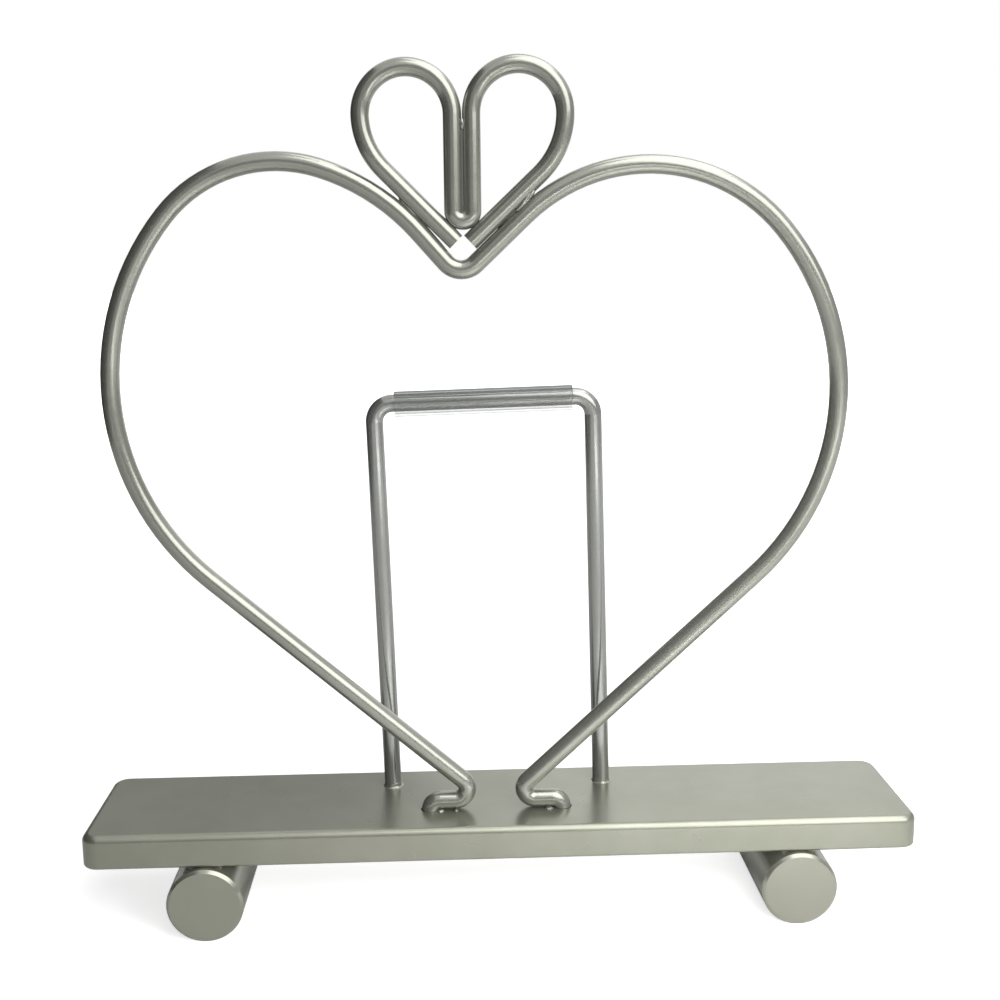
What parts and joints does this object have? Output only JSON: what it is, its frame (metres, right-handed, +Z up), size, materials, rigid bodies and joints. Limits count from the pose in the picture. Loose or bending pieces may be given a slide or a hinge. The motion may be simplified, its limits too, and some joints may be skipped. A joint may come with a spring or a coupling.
{
  "type": "heart shaped wire photo frame",
  "caption": "Painted wire heart with a small heart crown, standing before a wire hoop with a clear sleeve, on a sheet metal base with round bar feet.",
  "frame": {"origin": "under the middle of the base, on the surface that the two feet stand on", "axes": "+X along the base to the right as seen from the front, +Y from the front to the back, +Z up"},
  "size_m": [0.202, 0.0412, 0.2057],
  "materials": {
    "silver_paint": "satin nickel silver metallic paint",
    "clear_sleeve": "clear soft vinyl, slightly hazy"
  },
  "bodies": {
    "frame": {"heart_wire": "silver_paint", "crown_wire": "silver_paint", "crown_welds": "silver_paint", "rear_support": "silver_paint", "base_tray": "silver_paint", "left_foot": "silver_paint", "right_foot": "silver_paint", "heart_wire_welds": "silver_paint", "rear_support_welds": "silver_paint", "left_foot_welds": "silver_paint", "right_foot_welds": "silver_paint"},
    "sleeve": {"support_sleeve": "clear_sleeve"}
  },
  "joints": [
    {"name": "sleeve_turn", "type": "hinge", "parent": "frame", "child": "sleeve", "pos_m": [-0.00302, 0.00885, 0.12617], "axis": [0.9997, 0, 0.0253], "continuous": true}
  ]
}
